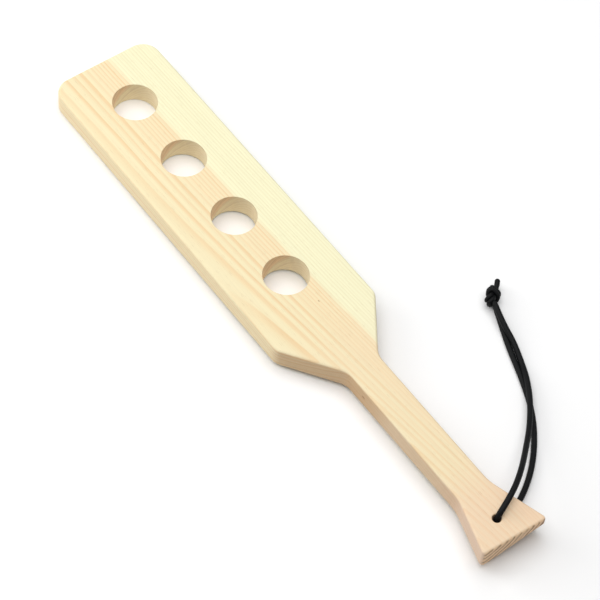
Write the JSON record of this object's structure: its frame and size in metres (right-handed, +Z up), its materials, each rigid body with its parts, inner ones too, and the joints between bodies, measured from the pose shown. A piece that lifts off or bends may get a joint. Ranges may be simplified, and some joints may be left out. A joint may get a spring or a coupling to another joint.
{
  "type": "pickleball paddle",
  "caption": "Long one-piece wooden paddle with a perforated rectangular blade, a straight handle flared at the butt, and a looped wrist lanyard tied in a knot.",
  "frame": {"origin": "on the table, under the middle of the board's bounding box", "axes": "+X along the paddle from the butt of the handle to the tip of the blade, +Z up, +Y across the blade, away from the side on which the lanyard lies"},
  "size_m": [0.5028, 0.18, 0.0316],
  "materials": {
    "pine": "sanded pale pine, unvarnished, with soft growth rings",
    "cord": "black braided nylon cord with a slight sheen"
  },
  "bodies": {
    "paddle": {"paddle_board": "pine"},
    "lanyard": {"lanyard_lower_strand": "cord", "lanyard_upper_strand": "cord", "lanyard_knot": "cord", "lanyard_tails": "cord"}
  },
  "joints": [
    {"name": "lanyard_swing", "type": "hinge", "parent": "paddle", "child": "lanyard", "pos_m": [-0.2331, 0.001, 0.0137], "axis": [0, 0, 1], "range_deg": [-250, 23]}
  ]
}
